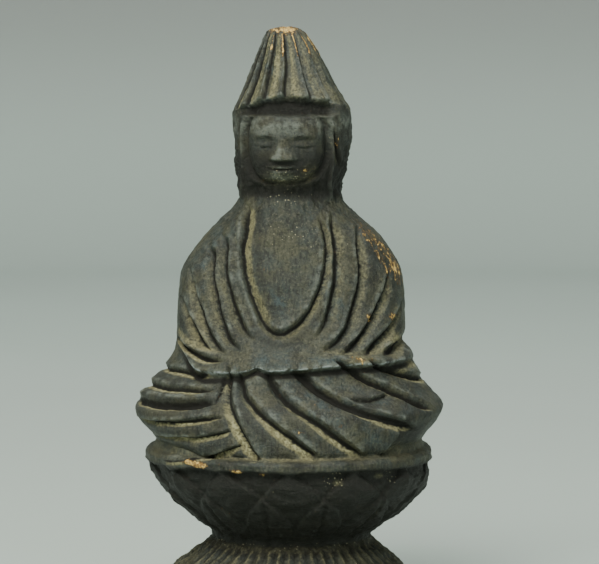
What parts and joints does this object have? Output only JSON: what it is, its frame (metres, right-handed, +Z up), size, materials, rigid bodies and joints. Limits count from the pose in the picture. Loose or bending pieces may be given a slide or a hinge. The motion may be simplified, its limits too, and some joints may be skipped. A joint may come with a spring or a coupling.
{
  "type": "kannon statue",
  "caption": "Small seated figure in a pleated cowl and folded robe, carved in one piece with its lotus seat and flared foot; stands on its flat underside.",
  "frame": {"origin": "centre of the flat underside", "axes": "+Z up from the underside to the crown, -Y out of the figure's front, +X to the viewer's right"},
  "size_m": [0.0616, 0.0576, 0.1165],
  "materials": {
    "lacquered_wood": "old wood under a thin black lacquer, worn and dusty in the folds"
  },
  "bodies": {
    "root": {"statue": "lacquered_wood"}
  },
  "joints": []
}
